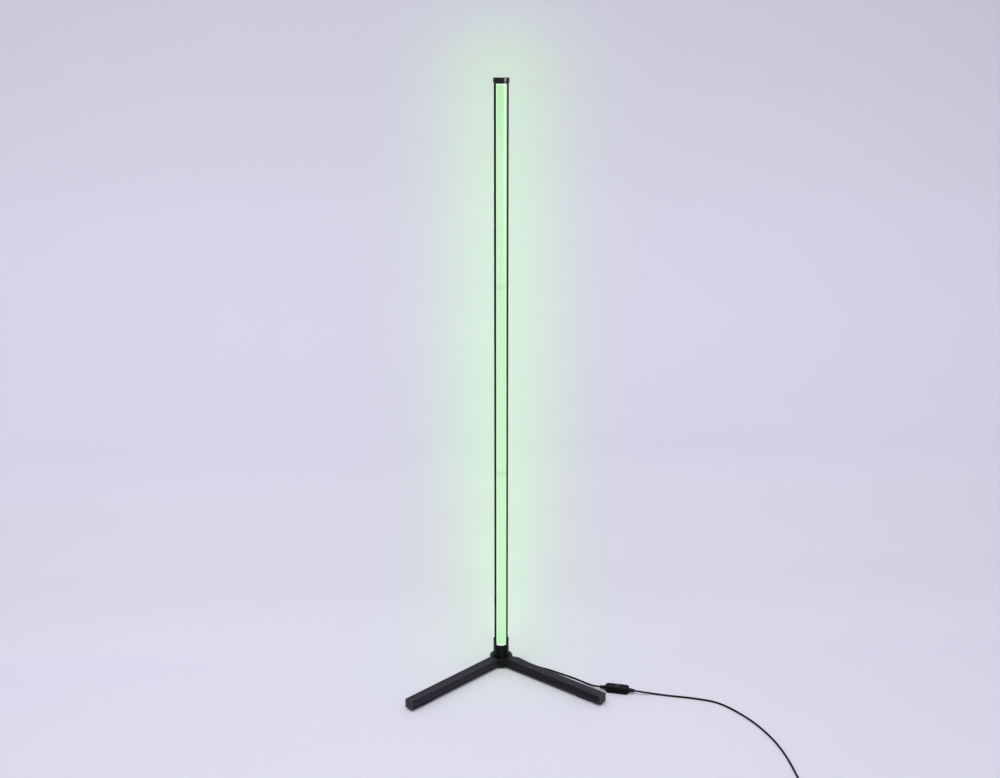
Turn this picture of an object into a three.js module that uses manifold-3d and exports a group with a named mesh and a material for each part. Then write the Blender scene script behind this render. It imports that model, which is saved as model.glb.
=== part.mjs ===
// Standing LED light tube: three stacked aluminium channels with opal diffusers on a V-shaped base.
// Millimetres, +Z up. The origin is on the floor, on the tube's axis. The light faces -Y, and the two
// legs lie at equal angles to either side of -Y. Angles around the tube are measured from -Y towards +X.
import * as THREE from 'three';
import { mergeVertices } from 'three/addons/utils/BufferGeometryUtils.js';
import Module from 'manifold-3d';

const wasm = await Module();
wasm.setup();

// ---- driving dimensions ----
const GAP = 0.3;                    // clearance between neighbouring pieces
const DEG = Math.PI / 180;

const SECTION_PITCH = 400;          // one channel section
const SECTION_COUNT = 3;
const SEAT_Z = 52.2;                // where the lowest channel stands on the hub
const TOP_Z = SEAT_Z + SECTION_COUNT * SECTION_PITCH;

const TUBE_R = 14.7;                // channel outer radius
const TUBE_WALL = 1.5;
const BORE_R = TUBE_R - TUBE_WALL;
const OPENING = 49.5 * DEG;         // half angle of the open front
const WEB_FRONT = 0.5;              // flat seat for the light strip
const WEB_BACK = 2.0;

const DIFFUSER_HALF = 48.2 * DEG;
const DIFFUSER_INNER_R = 13.3;

const STRIP = { width: 10, thick: 1, ledSize: 5, ledHeight: 1.6, ledPitch: 32, leds: 12 };
const PLUG = { width: 9, depth: 5, tall: 7, pin: 0.8, pinPitch: 2.2, pinUp: 4.2, pins: 3 };

const POST_R = BORE_R - GAP;        // joining posts fill the back chamber
const JOINER_LENGTH = 80;
const SCREW = { r: 1.5, head: 2.75, headTall: 1.8, length: 7, inset: 25 };

const CAP_R = 16.3;
const CAP_TALL = 10.8;
const CAP_POST = 40;

const LEG_ANGLE = 47.3 * DEG;
const LEG_WIDTH = 21.8;
const LEG_BOTTOM = 4;
const LEG_TALL = 19.4;
const LEG_TIP = 274;
const LEG_WALL = 2;
const LEG_ROUND = 2;
const LEG_CAP = 2.4;

const HUB_R = 25;
const HUB_TOP = LEG_BOTTOM + LEG_TALL;
const SLEEVE_R = 16.95;
const SLEEVE_TOP = 63;
const NOTCH_HALF = 11.1;
const CAVITY_R = 20;
const CAVITY_TOP = 19.4;
const COVER_R = 22.4;
const COVER_THICK = 1.7;
const WIRE_WAY = { r: 3.4, y: -2.3 };  // upright passage for the wires
const BOSS = { r: 3, out: 16, angles: [90, 270] };
const COVER_SCREW = { r: 1.1, head: 2.2, headTall: 1.4, length: 6 };
const POST_TOP = SEAT_Z + 40;
const HUB_SCREW_Z = 57.4;
const TENON = { from: 21.5, to: 54, round: 0.8 };
const LEG_SCREWS = [34, 46];

const PAD = { from: 208, to: 250, width: 14 };
const FOOT_R = 11.5;

const CORD_R = 1.9;
const GLAND = { y: 6, z: 10.5, hole: 4 };

// The in-line controller lies on the floor; its own frame has +X along its length.
const BOX_PLACE = { x: 239.5, y: -135.5, z: 0.2, turn: -17 * DEG };
const BOX = { half: 25, halfWide: 9.5, tall: 14, wall: 1.6, cut: 5, cordWay: 3 };
const BOX_MID = BOX.tall / 2;
const BOSS_IN_BOX = { r: 2.3, x: 16.5, y: 5.3, pilot: 1.2, low: 1.9 };
const BOX_SCREW = { r: 0.9, head: 1.8, headTall: 0.6, length: 6, seat: 0.7 };
const BUTTON = { r: 5, flange: 6, stem: 1.6, low: 10.2, top: 15 };
const SWITCH = { half: 3.1, base: 5.5, top: 8.9, bore: 1.9, floor: 7.2 };
const BOARD_SIZE = { half: 13.5, halfWide: 6, base: 4, top: 5.2 };
const BOARD_RIB = 10;               // the ribs under the board stand this far from its middle
const PLUNGER = { low: 8, high: 9.9 };

// Two layers of four turns, wound clockwise from above; the outermost turn has radius `outer`.
const COIL = { x: 500.3, y: -531, inner: 15.3, outer: 26.7, base: 0.8, top: 8.6 };
const TIE = { half: 3, thick: 0.5, from: 12.6, to: 29, low: 0.6, high: 8.8, angle: Math.PI };
const USB_PLACE = { x: 484.5, y: COIL.y - COIL.outer, z: 4.2 };
const USB = { tail: 11, body: 28, wide: 15.6, tall: 8, shell: 12, shellHalf: 6, shellTall: 4.5, wall: 0.5 };
const TONGUE = { half: 5.2, low: -0.4, high: 1.45 };

// The lead from the hub to the controller, along the floor behind the right leg.
const LEAD_ROUTE = [
  [33.3, 6, 10.5], [37, 5.9, 10.15], [41, 5.1, 9], [45.5, 3.3, 7.3], [50.5, 0.6, 5.9], [56, -3, 4.7],
  [62, -7.6, 3.6], [68.5, -12.5, 2.75], [77, -18.9, 2.15], [88, -26.8, 2.1], [103, -36.2, 2.1],
  [119, -48.4, 2.1], [135.3, -61.2, 2.1], [151.5, -74.2, 2.1], [165, -86.4, 2.1], [177, -98.6, 2.1],
  [184.3, -106.4, 2.7], [189.9, -112.9, 4], [193.8, -117.3, 5.4], [196.9, -120.5, 6.5],
  [200.14, -123.05, 7.1], [203.83, -124.59, 7.2],
];

// The supply cord from the controller, along the floor to the coil.
const SUPPLY_ROUTE = [
  [275.17, -146.41, 7.2], [280.9, -148.1, 7.1], [287.5, -149.4, 6.4], [294.5, -149.9, 5.2],
  [302, -149.8, 3.9], [310, -150.6, 2.8], [321, -153.4, 2.2], [337, -158.6, 2.1], [353, -163.2, 2.1],
  [369, -167.2, 2.1], [385, -171.6, 2.1], [401, -176.9, 2.1], [417, -182.6, 2.1], [432.2, -189.6, 2.1],
  [446.4, -200, 2.1], [459.4, -214.4, 2.1], [472, -231.8, 2.1], [484, -251.2, 2.1], [495, -272, 2.1],
  [504.8, -295.8, 2.1], [513.4, -322.3, 2.1], [520.6, -352.4, 2.1], [525.4, -388, 2.1],
  [527.4, -426, 2.1], [527.4, -465, 2.1], [527, -500, 2.1], [527, -516.2, 2.1],
];

// ---- finishes ----
function finish(color, roughness, metalness) {
  return new THREE.MeshStandardMaterial({ color, roughness, metalness });
}

const ANODISED = finish(0x1a1c1c, 0.38, 0.8);
const OPAL = finish(0xcbf8cd, 0.5, 0);
const COATED = finish(0x3b3a42, 0.5, 0.2);
const GLOSS = finish(0x0c0c0e, 0.2, 0);
const MOULDED = finish(0x1c1b20, 0.45, 0);
const BOARD = finish(0xe6e7e2, 0.5, 0);
const RUBBER = finish(0x131314, 0.85, 0);
const STEEL = finish(0x1d1d1f, 0.35, 0.9);
const PLATED = finish(0xb9bcc0, 0.28, 1);
const CABLE = finish(0x101113, 0.5, 0);

// ---- solids ----
function toSolid(geometry) {
  const bare = geometry.clone();
  bare.deleteAttribute('normal');
  bare.deleteAttribute('uv');
  const merged = mergeVertices(bare, 1e-4);
  const corners = merged.index.array;
  const kept = [];
  for (let i = 0; i < corners.length; i += 3) {
    const [a, b, c] = [corners[i], corners[i + 1], corners[i + 2]];
    if (a !== b && b !== c && c !== a) kept.push(a, b, c);
  }
  return new wasm.Manifold(new wasm.Mesh({
    numProp: 3,
    vertProperties: new Float32Array(merged.attributes.position.array),
    triVerts: new Uint32Array(kept),
  }));
}

function toGeometry(solid) {
  const mesh = solid.getMesh();
  const geometry = new THREE.BufferGeometry();
  geometry.setAttribute('position', new THREE.BufferAttribute(mesh.vertProperties, 3));
  geometry.setIndex(new THREE.BufferAttribute(mesh.triVerts, 1));
  return geometry;
}

// One base shape with others joined to it and then others cut from it.
function build(base, joined, cut) {
  let solid = toSolid(base);
  for (const shape of joined) solid = solid.add(toSolid(shape));
  for (const shape of cut) solid = solid.subtract(toSolid(shape));
  return toGeometry(solid);
}

// ---- plain shapes ----
const at = (geometry, x, y, z) => geometry.translate(x, y, z);

// A box from its lowest to its highest corner.
function block(x0, y0, z0, x1, y1, z1) {
  const box = new THREE.BoxGeometry(x1 - x0, y1 - y0, z1 - z0);
  return at(box, (x0 + x1) / 2, (y0 + y1) / 2, (z0 + z1) / 2);
}

// An upright cylinder from z0 to z1.
function rod(r, z0, z1, sides = 16, x = 0, y = 0) {
  const cylinder = new THREE.CylinderGeometry(r, r, z1 - z0, sides).rotateX(Math.PI / 2);
  return at(cylinder, x, y, (z0 + z1) / 2);
}

// A cylinder along +Y from y0 to y1.
function crossRod(r, y0, y1, x, z, sides = 12) {
  return at(new THREE.CylinderGeometry(r, r, y1 - y0, sides), x, (y0 + y1) / 2, z);
}

const polar = (r, angle) => new THREE.Vector2(r * Math.sin(angle), -r * Math.cos(angle));

function arc(r, from, to, steps) {
  const points = [];
  for (let i = 0; i <= steps; i += 1) points.push(polar(r, from + ((to - from) * i) / steps));
  return points;
}

function prism(outline, length, holes = []) {
  const shape = new THREE.Shape(outline);
  for (const hole of holes) shape.holes.push(new THREE.Path(hole));
  return new THREE.ExtrudeGeometry(shape, { depth: length, bevelEnabled: false, steps: 1 });
}

function roundedOutline(halfW, halfH, r, steps = 3) {
  const points = [];
  const corners = [[1, 1, 0], [-1, 1, 90], [-1, -1, 180], [1, -1, 270]];
  for (const [sx, sy, start] of corners) {
    for (let i = 0; i <= steps; i += 1) {
      const angle = (start + (90 * i) / steps) * DEG;
      points.push(new THREE.Vector2(
        sx * (halfW - r) + r * Math.cos(angle),
        sy * (halfH - r) + r * Math.sin(angle),
      ));
    }
  }
  return points;
}

// A turned piece standing on +Z, from [radius, height] pairs that start and end on the axis.
function turned(profile, sides) {
  const points = profile.map(([r, z]) => new THREE.Vector2(r, z));
  return new THREE.LatheGeometry(points, sides).rotateX(Math.PI / 2);
}

function tube(points, r, steps, sides = 8) {
  const section = new THREE.Shape();
  for (let i = 0; i < sides; i += 1) {
    const angle = ((i + 0.5) * 2 * Math.PI) / sides;
    const corner = [r * Math.cos(angle), r * Math.sin(angle)];
    if (i === 0) section.moveTo(...corner);
    else section.lineTo(...corner);
  }
  const route = points.map((p) => new THREE.Vector3(...p));
  const path = new THREE.CatmullRomCurve3(route, false, 'centripetal');
  return new THREE.ExtrudeGeometry(section, { steps, extrudePath: path, bevelEnabled: false });
}

// ---- scene ----
const lamp = new THREE.Group();

function piece(name, geometry, material, parent = lamp) {
  const mesh = new THREE.Mesh(geometry, material);
  mesh.name = name;
  parent.add(mesh);
  return mesh;
}

const sectionBase = (i) => SEAT_Z + i * SECTION_PITCH;

// ---- light tube ----
function channelGeometry() {
  const webAngle = (y) => Math.acos(-y / BORE_R);
  const front = webAngle(WEB_FRONT);
  const back = webAngle(WEB_BACK);
  const full = 2 * Math.PI;
  const outline = [
    ...arc(TUBE_R, OPENING, full - OPENING, 28),
    ...arc(BORE_R, full - OPENING, full - front, 4),
    ...arc(BORE_R, front, OPENING, 4),
  ];
  const chamber = arc(BORE_R, back, full - back, 16);
  return prism(outline, SECTION_PITCH - GAP, [chamber]);
}

function backScrewHole(z) {
  return crossRod(SCREW.r + GAP, BORE_R - 2, TUBE_R + 2, 0, z);
}

function diffuserGeometry() {
  const legOuter = 9.7;
  const legInner = 8.6;
  const innerTurn = Math.asin(legInner / DIFFUSER_INNER_R);
  const side = [[legOuter, -8.2], [10.3, -7.6], [9.4, -6.2], [legInner, -6.2]];
  const right = side.map(([x, y]) => new THREE.Vector2(x, y));
  const left = side.map(([x, y]) => new THREE.Vector2(-x, y)).reverse();
  const outline = [
    ...arc(TUBE_R, -DIFFUSER_HALF, DIFFUSER_HALF, 14),
    polar(DIFFUSER_INNER_R, DIFFUSER_HALF),
    ...right,
    ...arc(DIFFUSER_INNER_R, innerTurn, -innerTurn, 10),
    ...left,
    polar(DIFFUSER_INNER_R, -DIFFUSER_HALF),
  ];
  return prism(outline, SECTION_PITCH - GAP);
}

function stripGeometry() {
  const back = WEB_FRONT - GAP;
  const front = back - STRIP.thick;
  const low = PLUG.tall + GAP;
  const high = SECTION_PITCH - PLUG.tall - 2 * GAP;
  const base = block(-STRIP.width / 2, front, low, STRIP.width / 2, back, high);
  const half = STRIP.ledSize / 2;
  const leds = [];
  for (let i = 0; i < STRIP.leds; i += 1) {
    const z = SECTION_PITCH / 2 + (i - (STRIP.leds - 1) / 2) * STRIP.ledPitch;
    leds.push(block(-half, front - STRIP.ledHeight, z - half, half, front + 0.2, z + half));
  }
  return build(base, leds, []);
}

const pinOffset = (i) => (i - (PLUG.pins - 1) / 2) * PLUG.pinPitch;

// The plug lies under a joint at z = 0, with its pins standing through the joint.
function plugGeometry() {
  const back = WEB_FRONT - GAP;
  const base = block(-PLUG.width / 2, back - PLUG.depth, -PLUG.tall - GAP, PLUG.width / 2, back, -GAP);
  const half = PLUG.pin / 2;
  const pins = [];
  for (let i = 0; i < PLUG.pins; i += 1) {
    const x = pinOffset(i);
    const y = back - PLUG.depth / 2;
    pins.push(block(x - half, y - half, -PLUG.tall / 2, x + half, y + half, PLUG.pinUp));
  }
  return build(base, pins, []);
}

function socketGeometry() {
  const back = WEB_FRONT - GAP;
  const base = block(-PLUG.width / 2, back - PLUG.depth, 0, PLUG.width / 2, back, PLUG.tall);
  const half = PLUG.pin / 2 + GAP;
  const holes = [];
  for (let i = 0; i < PLUG.pins; i += 1) {
    const x = pinOffset(i);
    const y = back - PLUG.depth / 2;
    holes.push(block(x - half, y - half, -1, x + half, y + half, PLUG.pinUp + GAP));
  }
  return build(base, [], holes);
}

// A D-shaped post that fills the back chamber, with a cross hole for each screw.
function postOutline() {
  const chord = Math.acos(-(WEB_BACK + GAP) / POST_R);
  return arc(POST_R, chord, 2 * Math.PI - chord, 14);
}

function postScrewHole(z) {
  return crossRod(SCREW.r + GAP, TUBE_R - SCREW.length, POST_R + 1, 0, z);
}

function joinerGeometry() {
  const heights = [-SCREW.inset, SCREW.inset].map((z) => JOINER_LENGTH / 2 + z);
  return build(prism(postOutline(), JOINER_LENGTH), [], heights.map(postScrewHole));
}

// A pan-head screw whose head rests on z = 0 and whose shank points down.
function screwGeometry({ r, head, headTall, length }) {
  const profile = [[0, -length], [r, -length], [r, 0], [head, 0], [head * 0.85, headTall], [0, headTall]];
  return turned(profile, 10);
}

function addBackScrew(name, z, seat) {
  const screw = piece(name, screwGeometry(SCREW), STEEL);
  screw.rotation.x = -Math.PI / 2;
  screw.position.set(0, seat + GAP, z);
}

function addSection(i) {
  const z = sectionBase(i);
  const holes = [];
  if (i === 0) holes.push(backScrewHole(HUB_SCREW_Z - z));
  else holes.push(backScrewHole(SCREW.inset));
  const topHole = i === SECTION_COUNT - 1 ? SECTION_PITCH - CAP_POST / 2 : SECTION_PITCH - SCREW.inset;
  holes.push(backScrewHole(topHole));
  piece(`channel_${i + 1}`, build(channelGeometry(), [], holes), ANODISED).position.z = z;
  piece(`diffuser_${i + 1}`, diffuserGeometry(), OPAL).position.z = z;
  piece(`led_strip_${i + 1}`, stripGeometry(), BOARD).position.z = z;
  piece(`strip_plug_${i + 1}`, plugGeometry(), MOULDED).position.z = z;
  piece(`strip_socket_${i + 1}`, socketGeometry(), MOULDED).position.z = z;
}

function addJoint(i) {
  const z = sectionBase(i);
  piece(`joiner_${i}`, joinerGeometry(), MOULDED).position.z = z - JOINER_LENGTH / 2;
  addBackScrew(`joint_screw_${i}_low`, z - SCREW.inset, TUBE_R);
  addBackScrew(`joint_screw_${i}_high`, z + SCREW.inset, TUBE_R);
}

function addTopCap() {
  const edge = 1.6;
  const profile = [
    [0, 0], [CAP_R - edge, 0], [CAP_R - 0.4, 0.5], [CAP_R, edge], [CAP_R, CAP_TALL - edge],
    [CAP_R - 0.5, CAP_TALL - 0.5], [CAP_R - edge, CAP_TALL], [0, CAP_TALL],
  ];
  const post = at(prism(postOutline(), CAP_POST + 1), 0, 0, -CAP_POST);
  const cap = build(turned(profile, 40), [post], [postScrewHole(-CAP_POST / 2)]);
  piece('top_cap', cap, GLOSS).position.z = TOP_Z;
  addBackScrew('cap_screw', TOP_Z - CAP_POST / 2, TUBE_R);
}

// ---- base ----
// Legs are drawn along -Y and turned about the tube's axis.
const alongLeg = (geometry, side) => geometry.rotateZ(side * LEG_ANGLE);

function legBar(halfW, halfH, r, from, to, holes = []) {
  const bar = prism(roundedOutline(halfW, halfH, r), to - from, holes).rotateX(Math.PI / 2);
  return at(bar, 0, -from, LEG_BOTTOM + LEG_TALL / 2);
}

function legScrewHole(r) {
  return rod(SCREW.r + GAP, -1, LEG_BOTTOM + SCREW.length + GAP, 10, 0, -r);
}

function tenon(side) {
  const halfW = LEG_WIDTH / 2 - LEG_WALL - GAP;
  const halfH = LEG_TALL / 2 - LEG_WALL - GAP;
  return alongLeg(legBar(halfW, halfH, TENON.round, TENON.from, TENON.to), side);
}

const bossPlaces = BOSS.angles.map((a) => [BOSS.out * Math.cos(a * DEG), BOSS.out * Math.sin(a * DEG)]);

// The room for the wiring under the disc, with two bosses left standing for the cover's screws.
function hubCavity() {
  let room = toSolid(rod(CAVITY_R, -1, CAVITY_TOP, 40));
  const bossLow = LEG_BOTTOM + COVER_THICK + GAP;
  for (const [x, y] of bossPlaces) {
    room = room.subtract(toSolid(rod(BOSS.r, bossLow, CAVITY_TOP + 1, 12, x, y)));
  }
  return toGeometry(room);
}

function coverScrewHoles() {
  const top = LEG_BOTTOM + COVER_SCREW.length + 2;
  return bossPlaces.map(([x, y]) => rod(COVER_SCREW.r + GAP, 0, top, 10, x, y));
}

function hubHoles() {
  const seat = SEAT_Z - GAP;
  const notchRound = 2.4;
  const notch = prism(roundedOutline(NOTCH_HALF, 20, notchRound), 12).rotateX(Math.PI / 2);
  const plugHalf = PLUG.width / 2 + GAP;
  const plugFront = WEB_FRONT - PLUG.depth - 2 * GAP;
  const screwEnd = SLEEVE_R - SCREW.length;
  const glandHole = rod(GLAND.hole, -9, 9, 16).rotateY(Math.PI / 2);
  return [
    hubCavity(),
    rod(COVER_R + GAP, -1, LEG_BOTTOM + COVER_THICK + GAP, 40),
    rod(WIRE_WAY.r, CAVITY_TOP - 1, seat, 16, 0, WIRE_WAY.y),
    block(-plugHalf, plugFront, seat - PLUG.tall - 1, plugHalf, WEB_FRONT, seat + 1),
    at(notch, 0, -8, SEAT_Z + 20),
    crossRod(SCREW.r + GAP, screwEnd, SLEEVE_R + 2, 0, HUB_SCREW_Z),
    at(glandHole, HUB_R - 3, GLAND.y, GLAND.z),
    ...coverScrewHoles(),
  ];
}

// A flat disc with a neck and a bored sleeve; the post inside the sleeve enters the back chamber.
function hubGeometry() {
  const rim = 1;
  const lip = 0.5;
  const disc = turned([
    [0, LEG_BOTTOM], [HUB_R, LEG_BOTTOM], [HUB_R, HUB_TOP - rim], [HUB_R - rim, HUB_TOP], [0, HUB_TOP],
  ], 48);
  const neck = turned([
    [0, HUB_TOP - 1], [SLEEVE_R, HUB_TOP - 1], [SLEEVE_R, SLEEVE_TOP - lip], [SLEEVE_R - lip, SLEEVE_TOP],
    [0, SLEEVE_TOP],
  ], 40);
  const bore = rod(TUBE_R + GAP, SEAT_Z - GAP, SLEEVE_TOP + 1, 40);
  const sleeve = toGeometry(toSolid(neck).subtract(toSolid(bore)));
  const post = at(prism(postOutline(), POST_TOP - SEAT_Z + 2), 0, 0, SEAT_Z - 2);
  const sides = [-1, 1];
  const legHoles = sides.flatMap((side) => LEG_SCREWS.map((r) => alongLeg(legScrewHole(r), side)));
  return build(disc, [sleeve, post, ...sides.map(tenon)], [...hubHoles(), ...legHoles]);
}

function coverGeometry() {
  const plate = rod(COVER_R, LEG_BOTTOM, LEG_BOTTOM + COVER_THICK, 40);
  return build(plate, [], coverScrewHoles());
}

// The gland is turned about +X; its thin tail carries the lead out of the hub.
function glandGeometry() {
  const profile = [
    [0, 15.2], [4.5, 15.2], [4.5, 16.6], [3.7, 16.6], [3.7, 25.4], [4.5, 25.4], [4.5, 27.2], [3.5, 27.7],
    [2.5, 33], [0, 33],
  ];
  return turned(profile, 16).rotateY(Math.PI / 2);
}

function addHub() {
  piece('hub_body', hubGeometry(), MOULDED);
  addBackScrew('hub_screw', HUB_SCREW_Z, SLEEVE_R);
  piece('hub_cover', coverGeometry(), MOULDED);
  bossPlaces.forEach(([x, y], i) => {
    const screw = piece(`cover_screw_${i + 1}`, screwGeometry(COVER_SCREW), STEEL);
    screw.rotation.x = Math.PI;
    screw.position.set(x, y, LEG_BOTTOM - GAP);
  });
  piece('hub_foot', rod(FOOT_R, 0, LEG_BOTTOM - GAP, 28), RUBBER);
  piece('cord_gland', glandGeometry(), RUBBER).position.set(0, GLAND.y, GLAND.z);
  const wires = [
    [14.7, 6, 10.5], [9, 4.6, 10.8], [3.6, 0.8, 13], [0, -2, 18.5],
    [0, WIRE_WAY.y, 27], [0, WIRE_WAY.y, 44.5],
  ];
  piece('hub_wires', tube(wires, 1.3, 14, 6), CABLE);
}

function legGeometry() {
  const inner = roundedOutline(LEG_WIDTH / 2 - LEG_WALL, LEG_TALL / 2 - LEG_WALL, TENON.round);
  const end = LEG_TIP - LEG_CAP - GAP;
  const bar = legBar(LEG_WIDTH / 2, LEG_TALL / 2, LEG_ROUND, HUB_R - 6, end, [inner]);
  const hub = rod(HUB_R + GAP, 0, HUB_TOP + 2, 48);
  return build(bar, [], [hub, ...LEG_SCREWS.map(legScrewHole)]);
}

function legCapGeometry() {
  const plugLong = 12;
  const start = LEG_TIP - LEG_CAP;
  const inset = LEG_WALL + GAP;
  const halfW = LEG_WIDTH / 2 - inset;
  const halfH = LEG_TALL / 2 - inset;
  const plug = legBar(halfW, halfH, TENON.round, start - plugLong, start + 1);
  return build(legBar(LEG_WIDTH / 2, LEG_TALL / 2, LEG_ROUND, start, LEG_TIP), [plug], []);
}

function padGeometry() {
  const long = PAD.to - PAD.from;
  const outline = roundedOutline(PAD.width / 2, long / 2, PAD.width / 2 - 0.5);
  return at(prism(outline, LEG_BOTTOM - GAP), 0, -(PAD.from + PAD.to) / 2, 0);
}

function addLeg(name, side) {
  const leg = new THREE.Group();
  leg.rotation.z = side * LEG_ANGLE;
  lamp.add(leg);
  piece(`${name}_leg`, legGeometry(), COATED, leg);
  piece(`${name}_leg_cap`, legCapGeometry(), COATED, leg);
  piece(`${name}_leg_pad`, padGeometry(), RUBBER, leg);
  LEG_SCREWS.forEach((r, i) => {
    const screw = piece(`${name}_leg_screw_${i + 1}`, screwGeometry(SCREW), STEEL, leg);
    screw.rotation.x = Math.PI;
    screw.position.set(0, -r, LEG_BOTTOM - GAP);
  });
}

// ---- in-line controller ----
function boxHollow(low, high) {
  const cut = BOX.cut - BOX.wall * (2 - Math.SQRT2);
  const outline = roundedOutline(BOX.half - BOX.wall, BOX.halfWide - BOX.wall, cut, 1);
  return at(prism(outline, high - low), 0, 0, low);
}

function boxShell(low, high, hollowLow, hollowHigh) {
  const outline = roundedOutline(BOX.half, BOX.halfWide, BOX.cut, 1);
  const body = at(prism(outline, high - low), 0, 0, low);
  const cordWay = rod(BOX.cordWay, -BOX.half - 2, BOX.half + 2, 16).rotateY(Math.PI / 2);
  return build(body, [], [boxHollow(hollowLow, hollowHigh), at(cordWay, 0, 0, BOX_MID)]);
}

const boxBosses = [[BOSS_IN_BOX.x, BOSS_IN_BOX.y], [-BOSS_IN_BOX.x, -BOSS_IN_BOX.y]];

function upperShellGeometry() {
  const shell = boxShell(BOX_MID + GAP / 2, BOX.tall, 0, BOX.tall - BOX.wall);
  const bosses = boxBosses.map(([x, y]) => rod(BOSS_IN_BOX.r, BOSS_IN_BOX.low, BOX.tall - 1, 12, x, y));
  const pilots = boxBosses.map(([x, y]) => rod(BOSS_IN_BOX.pilot, 0, BOX_MID + 1, 10, x, y));
  return build(shell, bosses, [...pilots, rod(BUTTON.r + GAP, 0, BOX.tall + 1, 24)]);
}

function lowerShellGeometry() {
  const shell = boxShell(0, BOX_MID - GAP / 2, BOX.wall, BOX.tall);
  const { base, halfWide } = BOARD_SIZE;
  const ribs = [-BOARD_RIB, BOARD_RIB].map((x) => block(x - 1, -halfWide, 1, x + 1, halfWide, base - GAP));
  const pilots = boxBosses.map(([x, y]) => rod(BOSS_IN_BOX.pilot, -1, 3, 10, x, y));
  const sinkTop = BOX_SCREW.seat + GAP;
  const sinks = boxBosses.map(([x, y]) => rod(BOX_SCREW.head + GAP, -1, sinkTop, 12, x, y));
  const bossRoom = boxBosses.map(([x, y]) => rod(BOSS_IN_BOX.r + GAP, BOX.wall, BOX_MID + 1, 12, x, y));
  return build(shell, ribs, [...pilots, ...sinks, ...bossRoom]);
}

function buttonGeometry() {
  const flangeTop = BOX.tall - BOX.wall - GAP;
  return turned([
    [0, BUTTON.low], [BUTTON.stem, BUTTON.low], [BUTTON.stem, flangeTop - 1],
    [BUTTON.flange, flangeTop - 1], [BUTTON.flange, flangeTop], [BUTTON.r, flangeTop],
    [BUTTON.r, BUTTON.top - 0.5], [BUTTON.r - 0.5, BUTTON.top], [0, BUTTON.top],
  ], 24);
}

// A boot is turned about its own +X, measured from the controller's middle.
function bootGeometry() {
  const profile = [
    [0, 20.8], [3.5, 20.8], [3.5, 23.1], [2.6, 23.1], [2.6, 25.3], [4.1, 25.3], [4.1, 31.5], [3.6, 34.6],
    [2.6, 37], [0, 37],
  ];
  return turned(profile, 16).rotateY(Math.PI / 2);
}

function addController() {
  const box = new THREE.Group();
  box.position.set(BOX_PLACE.x, BOX_PLACE.y, BOX_PLACE.z);
  box.rotation.z = BOX_PLACE.turn;
  lamp.add(box);
  piece('controller_lower_shell', lowerShellGeometry(), MOULDED, box);
  piece('controller_upper_shell', upperShellGeometry(), MOULDED, box);
  const { half, halfWide, base, top } = BOARD_SIZE;
  piece('controller_board', block(-half, -halfWide, base, half, halfWide, top), BOARD, box);
  const body = block(-SWITCH.half, -SWITCH.half, SWITCH.base, SWITCH.half, SWITCH.half, SWITCH.top);
  piece('push_switch', build(body, [], [rod(SWITCH.bore, SWITCH.floor, SWITCH.top + 1, 12)]), MOULDED, box);
  piece('switch_plunger', rod(SWITCH.bore - GAP, PLUNGER.low, PLUNGER.high, 12), RUBBER, box);
  piece('controller_button', buttonGeometry(), MOULDED, box);
  ['in', 'out'].forEach((end, i) => {
    const boot = piece(`controller_boot_${end}`, bootGeometry(), RUBBER, box);
    boot.rotation.z = (1 - i) * Math.PI;
    boot.position.z = BOX_MID;
  });
  boxBosses.forEach(([x, y], i) => {
    const screw = piece(`controller_screw_${i + 1}`, screwGeometry(BOX_SCREW), STEEL, box);
    screw.rotation.x = Math.PI;
    screw.position.set(x, y, BOX_SCREW.seat);
  });
}

// ---- cord ----
function coilGeometry() {
  const inner = COIL.inner - CORD_R - 0.1;
  const outer = COIL.outer + CORD_R + 0.1;
  const { base, top } = COIL;
  return turned([[inner, base], [outer, base], [outer, top], [inner, top], [inner, base]], 40);
}

function tieGeometry() {
  const t = TIE.thick;
  const strap = block(TIE.from - t, -TIE.half, TIE.low - t, TIE.to + t, TIE.half, TIE.high + t);
  return build(strap, [], [block(TIE.from, -TIE.half - 1, TIE.low, TIE.to, TIE.half + 1, TIE.high)]);
}

// The plug is drawn along +X from the cord's end.
function usbBodyGeometry() {
  const tail = turned([[0, 0], [2.4, 0], [3.3, USB.tail], [3.3, USB.tail + 1], [0, USB.tail + 1]], 14);
  const body = prism(roundedOutline(USB.tall / 2, USB.wide / 2, 1.8), USB.body).rotateY(Math.PI / 2);
  return build(at(body, USB.tail, 0, 0), [tail.rotateY(Math.PI / 2)], []);
}

function addPlug() {
  const plug = new THREE.Group();
  plug.position.set(USB_PLACE.x, USB_PLACE.y, USB_PLACE.z);
  plug.rotation.z = Math.PI;
  lamp.add(plug);
  const start = USB.tail + USB.body + GAP;
  const end = start + USB.shell;
  const halfW = USB.shellHalf;
  const halfH = USB.shellTall / 2;
  const hollowW = halfW - USB.wall;
  const hollowH = halfH - USB.wall;
  piece('usb_body', usbBodyGeometry(), MOULDED, plug);
  const outer = block(start, -halfW, -halfH, end, halfW, halfH);
  const hollow = block(start - 1, -hollowW, -hollowH, end + 1, hollowW, hollowH);
  piece('usb_shell', build(outer, [], [hollow]), PLATED, plug);
  const tongue = block(start, -TONGUE.half, TONGUE.low, end - 1, TONGUE.half, TONGUE.high);
  piece('usb_tongue', tongue, BOARD, plug);
}

function addCord() {
  const step = 9;
  const cord = (name, route) => {
    const points = route.map((p) => new THREE.Vector3(...p));
    const long = new THREE.CatmullRomCurve3(points, false, 'centripetal').getLength();
    piece(name, tube(route, CORD_R, Math.round(long / step)), CABLE);
  };
  cord('lead_cord', LEAD_ROUTE);
  cord('supply_cord', SUPPLY_ROUTE);
  piece('cord_coil', coilGeometry(), CABLE).position.set(COIL.x, COIL.y, 0);
  const tie = piece('coil_tie', tieGeometry(), RUBBER);
  tie.rotation.z = TIE.angle;
  tie.position.set(COIL.x, COIL.y, 0);
}

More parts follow.
